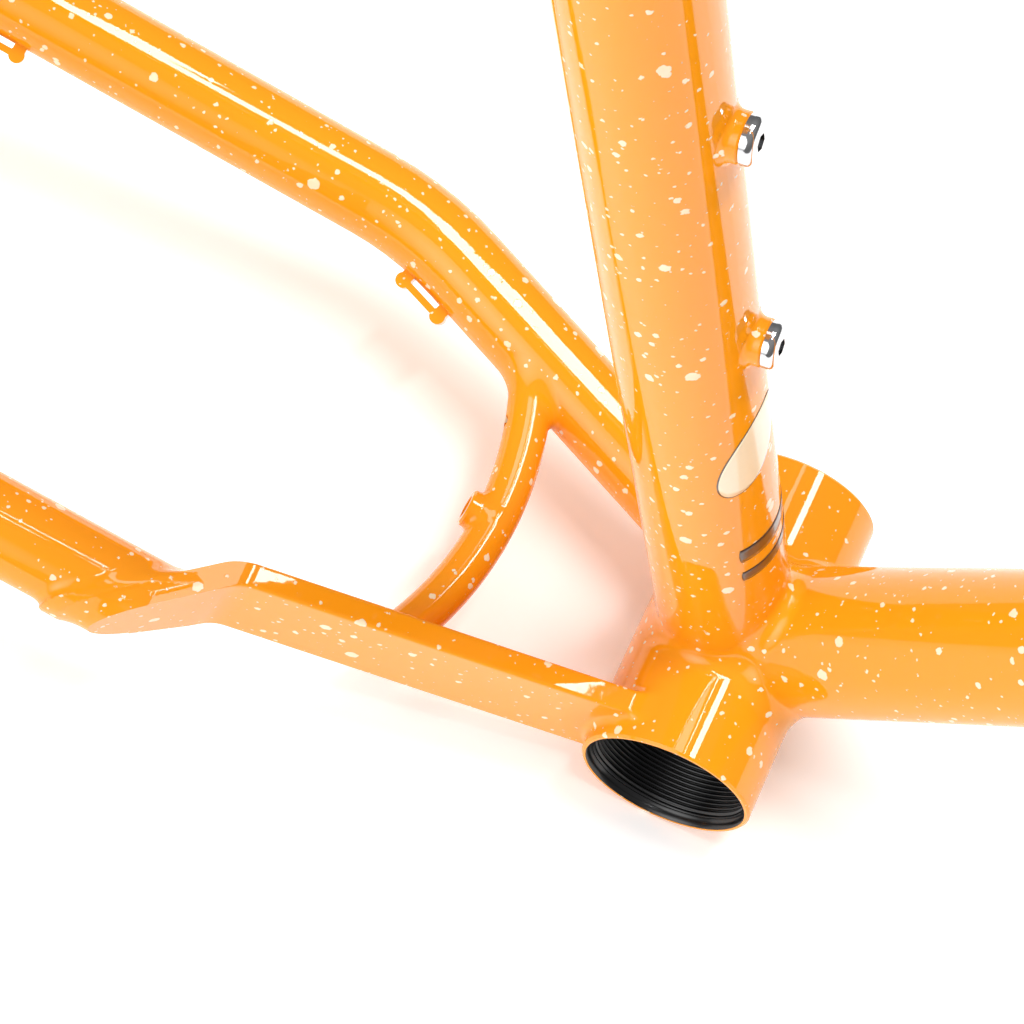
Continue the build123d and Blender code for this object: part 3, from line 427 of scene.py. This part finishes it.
def surface_net(field, low, high, step):
    """The field's zero surface in a box, as quads with a vertex for each cell it crosses."""
    counts = np.ceil((np.asarray(high) - low) / step).astype(int) + 1
    axes = [low[k] + step * np.arange(counts[k]) for k in range(3)]
    grid = np.stack(np.meshgrid(*axes, indexing="ij"), -1)
    value = field(grid.reshape(-1, 3)).reshape(counts)
    total = np.zeros((*(counts - 1), 3))
    hits = np.zeros(counts - 1)
    edges = []
    for k in range(3):
        a = [slice(None)] * 3
        b = [slice(None)] * 3
        a[k], b[k] = slice(None, -1), slice(1, None)
        va, vb = value[tuple(a)], value[tuple(b)]
        cross = (va < 0) != (vb < 0)
        place = np.argwhere(cross)
        share = va[cross] / (va[cross] - vb[cross])
        point = grid[tuple(a)][cross].copy()
        point[:, k] += share * step
        i, j = [x for x in range(3) if x != k]
        for di in (0, 1):
            for dj in (0, 1):
                cell = place.copy()
                cell[:, i] -= di
                cell[:, j] -= dj
                ok = ((cell >= 0) & (cell < counts - 1)).all(1)
                where = tuple(cell[ok].T)
                np.add.at(total, where, point[ok])
                np.add.at(hits, where, 1)
        edges.append((k, place, va[cross] < 0))
    index = np.full(hits.shape, -1)
    index[hits > 0] = np.arange((hits > 0).sum())
    points = total[hits > 0] / hits[hits > 0][:, None]
    faces = []
    for k, place, inside_first in edges:
        i, j = [x for x in range(3) if x != k]
        if k == 1:
            i, j = j, i
        corners = []
        for di, dj in ((1, 1), (0, 1), (0, 0), (1, 0)):
            cell = place.copy()
            cell[:, i] -= di
            cell[:, j] -= dj
            ok = ((cell >= 0) & (cell < counts - 1)).all(1)
            found = np.full(len(cell), -1)
            found[ok] = index[tuple(cell[ok].T)]
            corners.append(found)
        quad = np.stack(corners, 1)
        quad[~inside_first] = quad[~inside_first][:, ::-1]
        faces.append(quad[(quad >= 0).all(1)])
    return points, np.concatenate(faces)


def make_mesh(name, points, faces, normals=None):
    """A Blender mesh object from points in mm."""
    mesh = bpy.data.meshes.new(name)
    mesh.from_pydata((np.asarray(points) * MM).tolist(), [], [list(map(int, f)) for f in faces])
    mesh.update()
    mesh.polygons.foreach_set("use_smooth", [True] * len(mesh.polygons))
    if normals is not None:
        mesh.normals_split_custom_set_from_vertices(np.asarray(normals).tolist())
    made = bpy.data.objects.new(name, mesh)
    bpy.context.scene.collection.objects.link(made)
    return made


def dress(piece, slot, paint=None):
    piece.data.materials.append(paint or MATERIALS[slot])
    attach(piece, "frame")
    return piece


BEAD_THICK = 0.7             # depth of a patch below its own surface
STAND_OFF = 0.012            # a patch covers only what lies this far out of the parts


def weld(name, parts, centre, halves, step):
    """The fillet where parts meet: the blended surface where it leaves all of them, closed below."""
    field = blend_all(parts)
    centre, halves = np.asarray(centre, float), np.asarray(halves, float) * np.ones(3)
    points, faces = surface_net(field, centre - halves, centre + halves, step)
    for _ in range(5):
        slope = slope_of(field, points)
        size = np.maximum((slope * slope).sum(1), 0.05)
        move = slope * (field(points) / size)[:, None]
        points = points - np.clip(move, -step, step)
    plain = np.minimum.reduce([part[0](points) for part in parts])
    live = plain > STAND_OFF
    faces = faces[live[faces].any(1)]
    used = np.unique(faces)
    renumber = np.full(len(points), -1)
    renumber[used] = np.arange(len(used))
    points, faces = points[used], renumber[faces]
    normals = slope_of(field, points)
    normals /= np.maximum(np.linalg.norm(normals, axis=1), 1e-9)[:, None]
    below = points - normals * BEAD_THICK
    count = len(points)
    sides = {}
    for face in faces:
        for a, b in zip(face, np.roll(face, -1)):
            if (b, a) in sides:
                del sides[(b, a)]
            else:
                sides[(a, b)] = True
    rim = [(b, a, a + count, b + count) for a, b in sides]
    everything = [*faces.tolist(), *(faces[:, ::-1] + count).tolist(), *rim]
    return dress(make_mesh(name, np.concatenate([points, below]), everything,
                           np.concatenate([normals, -normals])), "frame_paint")


def seat_side(station):
    return SEAT_DIR * station + SEAT_FRONT * SEAT_RADIUS


def bottle_boss(place, outward):
    return cylinder(place - outward * 9, place + outward * 2.5, BOTTLE_BOSS_RADIUS)


def add_welds():
    weld("shell_welds", [(SHELL, 0), (SEAT, 4.0), (DOWN, 4.5), (LEFT_STAY, 3.5), (YOKE, 2.2)],
         (-2, 2, 18), (46, 42, 42), 0.88)
    weld("bridge_weld_left", [(LEFT_STAY, 0), (bridge_field, 3.0)], BRIDGE_LEFT, (14, 16, 12), 0.5)
    weld("bridge_weld_right", [(YOKE, 0), (bridge_field, 2.5)], BRIDGE_RIGHT, (12, 12, 10), 0.45)
    weld("yoke_tip_weld", [(RIGHT_STAY, 0), (YOKE, 4.0)],
         stay_point(YOKE_CAP, -RIGHT_WIDE), (26, 20, 16), 0.6)
    foot, rise = BRIDGE_BOSS_FOOT, STAY_DIR * (BRIDGE_RADIUS + 2.1)
    boss = cylinder(foot, foot + rise, FENDER_BOSS_RADIUS)
    weld("bridge_boss_weld", [(bridge_field, 0), (boss, 1.2)], foot + rise * 0.6, 7, 0.28)
    for k, station in enumerate(SEAT_BOSS_STATIONS):
        place = seat_side(station)
        weld(f"seat_boss_weld_{k}", [(SEAT, 0), (bottle_boss(place, SEAT_FRONT), 1.3)],
             place, (8, 8, 8), 0.3)
    for k, station in enumerate(DOWN_BOSS_STATIONS):
        place = DOWN_DIR * station + DOWN_TOP_SIDE * DOWN_RADIUS
        weld(f"down_boss_weld_{k}", [(DOWN, 0), (bottle_boss(place, DOWN_TOP_SIDE), 1.3)],
             place, (8, 8, 8), 0.3)
    weld("top_seat_weld", [(SEAT, 0), (TOP, 4.0), (seatstay(1), 2.5), (seatstay(-1), 2.5)],
         SEAT_DIR * 448, (26, 26, 34), 0.9)
    weld("top_head_weld", [(HEAD, 0), (TOP, 4.0)], TOP_ON_HEAD, (30, 22, 30), 0.9)
    weld("down_head_weld", [(HEAD, 0), (DOWN, 4.0)], DOWN_ON_HEAD, (38, 22, 44), 0.9)
    for side, name in ((1, "left"), (-1, "right")):
        weld(f"seatstay_bridge_weld_{name}",
             [(seatstay(side), 0),
              (cylinder(SEAT_BRIDGE - OUT * 50, SEAT_BRIDGE + OUT * 50, SEAT_BRIDGE_RADIUS), 2.5)],
             SEAT_BRIDGE + OUT * side * 38, (13, 13, 13), 0.5)
    tube = cylinder(SEAT_BRIDGE - OUT * 12, SEAT_BRIDGE + OUT * 12, SEAT_BRIDGE_RADIUS)
    boss = cylinder(SEAT_BRIDGE, SEAT_BRIDGE + SEATSTAY_DIR * 8.45, FENDER_BOSS_RADIUS)
    weld("seatstay_boss_weld", [(tube, 0), (boss, 1.2)],
         SEAT_BRIDGE + SEATSTAY_DIR * 6, 7, 0.28)
    stays = {1: LEFT_STAY, -1: RIGHT_STAY}
    for side, name in ((1, "left"), (-1, "right")):
        end = stay_point(STAY_END, side * DROPOUT_MID)
        weld(f"{name}_dropout_weld_low", [(both(stays[side], half_space(end, STAY_DIR)), 0),
                                          (arm(side, unit(-STAY_DIR), 38.0, 13.0), 2.0)],
             end, (14, 12, 12), 0.5)
        end = seatstay_point(SEATSTAY_END, side * DROPOUT_MID)
        weld(f"{name}_dropout_weld_high", [(both(seatstay(side), half_space(end, SEATSTAY_DIR)), 0),
                                           (arm(side, unit(-SEATSTAY_DIR), 42.0, 13.0), 2.0)],
             end, (12, 12, 14), 0.5)


def lathe(name, profile, steps=144):
    """A closed ring round the shell's axis: profile(angle) gives points (radius, along)."""
    points, faces = [], []
    for i in range(steps):
        angle = 2 * math.pi * i / steps
        ray = np.array([math.cos(angle), 0, math.sin(angle)])
        loop = profile(angle)
        count = len(loop)
        points += [ray * radius + OUT * along for radius, along in loop]
        for j in range(count):
            k, n = (j + 1) % count, (i + 1) % steps
            faces.append((i * count + j, i * count + k, n * count + k, n * count + j))
    area = sum(a[0] * b[1] - b[0] * a[1] for a, b in zip(loop, loop[1:] + loop[:1]))
    return make_mesh(name, points, faces if area > 0 else [f[::-1] for f in faces])


THREAD_PITCH, THREAD_DEEP, THREAD_LENGTH, THREAD_ROWS = 1.058, 0.55, 24.0, 8
THREAD_ROOT = THREAD_RADIUS - 0.10
THREAD_WALL = THREAD_RADIUS - 0.03
THREAD_START = SHELL_WIDTH / 2 - MOUTH_DEPTH - 0.03


def thread_profile(side):
    """The painted screw thread in one end of the shell, on a thin sleeve against the bore."""
    rows = int(THREAD_LENGTH / THREAD_PITCH * THREAD_ROWS)

    def profile(angle):
        loop = [(THREAD_WALL, side * (THREAD_START - THREAD_LENGTH)),
                (THREAD_WALL, side * THREAD_START)]
        for row in range(rows + 1):
            along = THREAD_LENGTH * row / rows
            turn = along / THREAD_PITCH + angle / (2 * math.pi)
            wave = abs(2 * (turn % 1.0) - 1)
            crest = min(1.0, max(0.0, (wave - 0.18) / 0.5))
            fade = min(1.0, along / THREAD_PITCH, (THREAD_LENGTH - along) / THREAD_PITCH)
            loop.append((THREAD_ROOT - THREAD_DEEP * crest * fade, side * (THREAD_START - along)))
        return loop

    return profile


def add_bore():
    """Black inside the shell: a lead-in ring and a thread at each end, and a sleeve between."""
    wall, mouth, lip = THREAD_WALL, MOUTH_RADIUS - 0.04, SHELL_WIDTH / 2 - 0.08
    for side, name in ((1, "left"), (-1, "right")):
        ring = [(mouth, lip), (mouth, THREAD_START + 0.03), (wall - 0.08, THREAD_START + 0.03),
                (wall - 0.08, THREAD_START + 0.20), (mouth - 0.32, THREAD_START + 0.52),
                (mouth - 0.10, THREAD_START + 1.1), (mouth - 0.07, lip)]
        ring = [(radius, side * along) for radius, along in ring]
        dress(lathe(f"lead_in_ring_{name}", lambda _, ring=ring: ring), "anodised_black", BLACK_BORE)
        dress(lathe(f"shell_thread_{name}", thread_profile(side)), "anodised_black", BLACK_BORE)
    half = THREAD_START - THREAD_LENGTH
    sleeve = [(wall, -half), (wall, half), (THREAD_ROOT, half), (THREAD_ROOT, -half)]
    dress(lathe("shell_sleeve", lambda _: sleeve), "anodised_black", BLACK_BORE)


def decal(name, paint, centre, halves, turn, low, high, roundness=1.0, count=(24, 16)):
    """A thin printed patch that follows the seat tube: centre is (round the tube, station)."""
    layers = []
    for lift in (high, low):
        points = []
        for i in range(count[0] + 1):
            for j in range(count[1] + 1):
                x, y = 2 * i / count[0] - 1, 2 * j / count[1] - 1
                u = halves[0] * x * math.sqrt(1 - roundness * y * y / 2)
                v = halves[1] * y * math.sqrt(1 - roundness * x * x / 2)
                around = centre[0] + u * math.cos(turn) - v * math.sin(turn)
                station = centre[1] + u * math.sin(turn) + v * math.cos(turn)
                angle = around / SEAT_RADIUS
                ray = SEAT_FRONT * math.cos(angle) - OUT * math.sin(angle)
                points.append(SEAT_DIR * station + ray * (SEAT_RADIUS + lift))
        layers.append(points)
    wide = count[1] + 1
    size = len(layers[0])
    faces = []
    for i in range(count[0]):
        for j in range(count[1]):
            a = i * wide + j
            quad = (a, a + 1, a + wide + 1, a + wide)
            faces += [quad, tuple(k + size for k in quad[::-1])]
    loop = list(range(count[1])) + [i * wide + count[1] for i in range(count[0])]
    loop += [count[0] * wide + j for j in range(count[1], 0, -1)]
    loop += [i * wide for i in range(count[0], 0, -1)]
    faces += [(b, a, a + size, b + size) for a, b in zip(loop, loop[1:] + loop[:1])]
    piece = make_mesh(name, layers[0] + layers[1], faces)
    piece.data.materials.append(paint)
    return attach(piece, "frame")


def add_decals():
    """Plain generic marks on the front of the seat tube: a cream patch and two dark bands."""
    patch = dict(centre=(4.5, 94.5), turn=0.59)
    decal("patch_outline", BROWN_INK, halves=(6.7, 13.0), low=0.01, high=0.05, **patch)
    decal("patch", CREAM_INK, halves=(6.35, 12.65), low=0.03, high=0.08, **patch)
    for k, (station, half) in enumerate(((59.4, 2.5), (51.3, 1.8))):
        decal(f"band_{k}", BROWN_INK, centre=(0, station), halves=(11.0, half), turn=0.0,
              low=0.01, high=0.06, roundness=0.12, count=(40, 4))


BLACK_BORE = simple("bore_black", (0.006, 0.006, 0.0065), 0.30, 0.0, Coat_Weight=0.15)
INK = dict(scale=900.0, bump=0.000005, Coat_Weight=0.8, Coat_Roughness=0.03)
CREAM_INK = simple("cream_ink", (0.90, 0.80, 0.58), 0.35, 0.0, spread=0.05, **INK)
BROWN_INK = simple("brown_ink", (0.050, 0.018, 0.006), 0.35, 0.0, spread=0.2, **INK)
add_welds()
add_bore()
add_decals()
for cad_node in NODES.values():
    cad_node.data.polygons.foreach_set("use_smooth", [True] * len(cad_node.data.polygons))


# ---------------------------------------------------------------- floor, lights and camera
FLOOR_HALF = 14.0
floor_mesh = bpy.data.meshes.new("floor")
floor_mesh.from_pydata([(x * FLOOR_HALF, y * FLOOR_HALF, FLOOR_Z) for x, y in
                        ((-1, -1), (1, -1), (1, 1), (-1, 1))], [], [(0, 1, 2, 3)])
floor = bpy.data.objects.new("floor", floor_mesh)
bpy.context.scene.collection.objects.link(floor)
floor_paint, g, place, shader = material("floor_paper", Roughness=0.9, Specular_IOR_Level=0.1)
g.plug(g.mix(g.noise(place, 30.0), rgb(0.88, 0.88, 0.88), rgb(0.91, 0.91, 0.91)),
       shader.inputs["Base Color"])
# The floor glows white as painted light, and ambient occlusion dims that glow into painted shade
# under and around the frame.
shader.inputs["Emission Color"].default_value = rgb(1.0, 1.0, 1.0)
painted_shade_near_frame = g.node("ShaderNodeAmbientOcclusion", samples=8)
painted_shade_near_frame.inputs["Distance"].default_value = 0.12
g.plug(g.math("MULTIPLY", painted_shade_near_frame.outputs["AO"], 0.55), shader.inputs["Emission Strength"])
floor_mesh.materials.append(floor_paint)

world = bpy.data.worlds.new("studio")
world.use_nodes = True
g = Graph(world.node_tree)
background = world.node_tree.nodes["Background"]
sky = g.node("ShaderNodeSeparateXYZ")
g.plug(g.node("ShaderNodeTexCoord").outputs["Generated"], sky.inputs[0])
g.plug(g.mix(g.step(sky.outputs[2], 0.2, 1.0), rgb(0.18, 0.18, 0.18), rgb(0.33, 0.33, 0.33)),
       background.inputs["Color"])
bpy.context.scene.world = world

LAMP_HEIGHT = 12.0
# Each overhead lamp: the two ends of its middle line, as unit directions (x, y), its width in the
# same units, and its radiance.
LAMPS = {
    "strip_a": ((-0.005, -0.10), (0.235, 0.50), 0.035, 25.0),
    "strip_b": ((0.00, -0.11), (0.270, 0.50), 0.045, 25.0),
    "strip_c": ((0.01, -0.10), (0.310, 0.48), 0.055, 25.0),
    "strip_far": ((0.078, 0.10), (0.100, 0.42), 0.035, 25.0),
    "panel": ((-0.34, 0.26), (-0.04, 0.40), 0.24, 5.0),
}


def place_by_axes(thing, x_axis, y_axis, z_axis, at):
    """Turn and move a lamp or camera, which look along their own -Z."""
    columns = (x_axis, y_axis, z_axis, at)
    thing.matrix_world = Matrix([[column[row] for column in columns] for row in range(3)]
                                + [[0, 0, 0, 1]])


def overhead_lamp(name, start, end, width, radiance):
    """A flat lamp high above, whose middle line's ends are seen in those directions."""
    ends = []
    for x, y in (start, end):
        z = math.sqrt(1 - x * x - y * y)
        ends.append(Vector((x, y, z)) * (LAMP_HEIGHT / z))
    lamp = bpy.data.lights.new(name, "AREA")
    lamp.shape = "RECTANGLE"
    lamp.size = (ends[1] - ends[0]).length
    lamp.size_y = width * LAMP_HEIGHT
    lamp.energy = radiance * lamp.size * lamp.size_y * math.pi
    light = bpy.data.objects.new(name, lamp)
    along = (ends[1] - ends[0]).normalized()
    up = Vector((0, 0, 1))
    place_by_axes(light, along, up.cross(along).normalized(), up, (ends[0] + ends[1]) / 2)
    light.visible_camera = False
    bpy.context.scene.collection.objects.link(light)


for name, (start, end, width, radiance) in LAMPS.items():
    overhead_lamp(name, start, end, width, radiance)

front = bpy.data.lights.new("front_light", "AREA")
front.size = 1.2
front.energy = 2.6
front.spread = math.radians(70)
front_light = bpy.data.objects.new("front_light", front)
front_light.location = (-0.55, -0.95, 0.60)
aim = Vector((-0.10, -0.08, 0.0)) - front_light.location
front_light.rotation_euler = aim.to_track_quat("-Z", "Y").to_euler()
front_light.visible_camera = False
bpy.context.scene.collection.objects.link(front_light)

FRAME_PIXELS, FOCAL_PIXELS = 1024, 3633.62
CAMERA_AT = Vector((-0.037819, -0.318276, 0.708821))
CAMERA_VIEW = Vector((-0.02044, 0.41498, -0.9096))
CAMERA_UP = Vector((-0.4299, 0.81774, 0.38273))
camera_data = bpy.data.cameras.new("camera")
camera_data.sensor_width = 36.0
camera_data.lens = FOCAL_PIXELS / FRAME_PIXELS * camera_data.sensor_width
camera_data.clip_start, camera_data.clip_end = 0.05, 50.0
camera = bpy.data.objects.new("camera", camera_data)
back = -CAMERA_VIEW.normalized()
right = CAMERA_UP.cross(back).normalized()
up = back.cross(right)
place_by_axes(camera, right, up, back, CAMERA_AT)
bpy.context.scene.collection.objects.link(camera)
bpy.context.scene.camera = camera
bpy.context.scene.view_settings.view_transform = "Standard"
